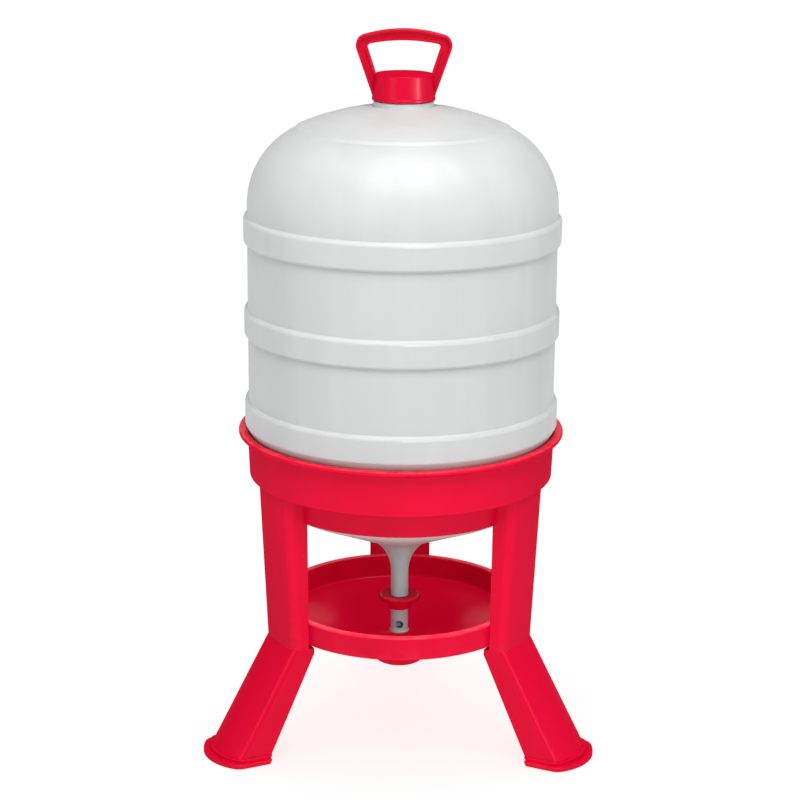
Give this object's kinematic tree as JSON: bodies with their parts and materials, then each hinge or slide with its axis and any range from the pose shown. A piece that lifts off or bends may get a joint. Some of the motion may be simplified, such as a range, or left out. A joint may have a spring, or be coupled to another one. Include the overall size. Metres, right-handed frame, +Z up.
{
  "type": "poultry waterer fount",
  "caption": "Siphon drinker for poultry: ribbed translucent water tank with a screw cap and carrying handle, outlet tube and sliding valve over a round dish, in a red cradle on splayed legs.",
  "frame": {"origin": "on the tank's vertical axis, on the plane the feet stand on", "axes": "+Z up along the tank's axis, -Y the front side that the outlet hole faces, +X to the right seen from the front; one leg points to +Y"},
  "size_m": [0.452, 0.4391, 0.8209],
  "materials": {
    "tank_plastic": "satin translucent polyethylene, blow moulded",
    "grey_plastic": "satin polyethylene, injection moulded",
    "red_plastic": "satin red polypropylene, injection moulded",
    "seal_rubber": "matte black elastomer"
  },
  "bodies": {
    "stand": {"cradle": "red_plastic", "dish": "red_plastic", "leg_back": "red_plastic", "leg_front_left": "red_plastic", "leg_front_right": "red_plastic"},
    "tank": {"tank": "tank_plastic", "outlet_tube": "grey_plastic", "outlet_seal": "seal_rubber"},
    "valve": {"valve_sleeve": "red_plastic", "valve_o_rings": "seal_rubber"},
    "cap_seal": {"cap_gasket": "seal_rubber"},
    "cap": {"filler_cap": "red_plastic"}
  },
  "joints": [
    {"name": "tank_lift", "type": "slide", "parent": "stand", "child": "tank", "axis": [0, 0, 1], "range_m": [0, 0.28]},
    {"name": "valve_slide", "type": "slide", "parent": "tank", "child": "valve", "axis": [0, 0, -1], "range_m": [0, 0.0274]},
    {"name": "cap_rise", "type": "slide", "parent": "tank", "child": "cap_seal", "axis": [0, 0, 1], "range_m": [0, 0.0242]},
    {"name": "cap_turn", "type": "hinge", "parent": "cap_seal", "child": "cap", "pos_m": [0, 0, 0.755], "axis": [0, 0, 1], "range_deg": [0, 1440]}
  ],
  "couplings": [
    {"joint": "cap_rise", "follows": "cap_turn", "m_per_rad": 0.00095493}
  ]
}
